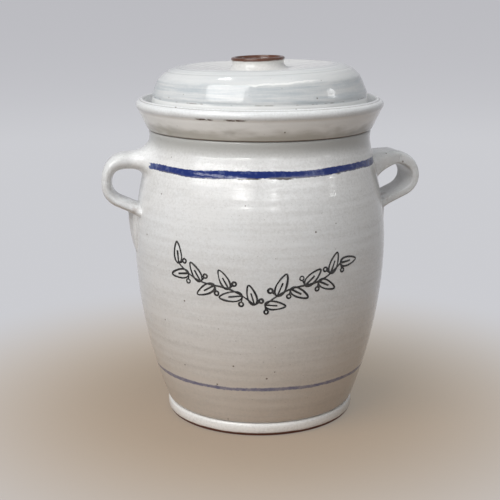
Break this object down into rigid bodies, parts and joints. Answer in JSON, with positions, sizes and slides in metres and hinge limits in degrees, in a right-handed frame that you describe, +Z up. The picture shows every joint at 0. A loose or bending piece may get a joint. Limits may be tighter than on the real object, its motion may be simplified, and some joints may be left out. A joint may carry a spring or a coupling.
{
  "type": "fermentation crock",
  "caption": "Stoneware fermentation crock with a flared water-seal collar, a domed lid that stands in its channel, two loop handles and half-round weights inside.",
  "frame": {"origin": "centre of the foot, on the surface that the crock stands on", "axes": "+Z up along the axis of the turned body, +X towards the right handle, -Y towards the front"},
  "size_m": [0.2007, 0.156, 0.222],
  "materials": {
    "white_glaze": "gloss",
    "lid_glaze": "gloss",
    "knob_glaze": "gloss, iron brown where the glaze breaks on the rim",
    "bare_stoneware": "matt, unglazed"
  },
  "bodies": {
    "crock": {"crock_body": "white_glaze", "foot_ring": "white_glaze", "water_collar": "white_glaze", "left_handle": "white_glaze", "right_handle": "white_glaze"},
    "lid": {"lid_dome": "lid_glaze", "lid_knob": "knob_glaze"},
    "left_half_weight": {"left_weight": "bare_stoneware"},
    "right_half_weight": {"right_weight": "bare_stoneware"}
  },
  "joints": [
    {"name": "lid_lift", "type": "slide", "parent": "crock", "child": "lid", "axis": [0, 0, 1], "range_m": [0, 0.12]},
    {"name": "left_weight_lift", "type": "slide", "parent": "crock", "child": "left_half_weight", "axis": [0, 0, 1], "range_m": [0, 0.12]},
    {"name": "right_weight_lift", "type": "slide", "parent": "crock", "child": "right_half_weight", "axis": [0, 0, 1], "range_m": [0, 0.12]}
  ]
}
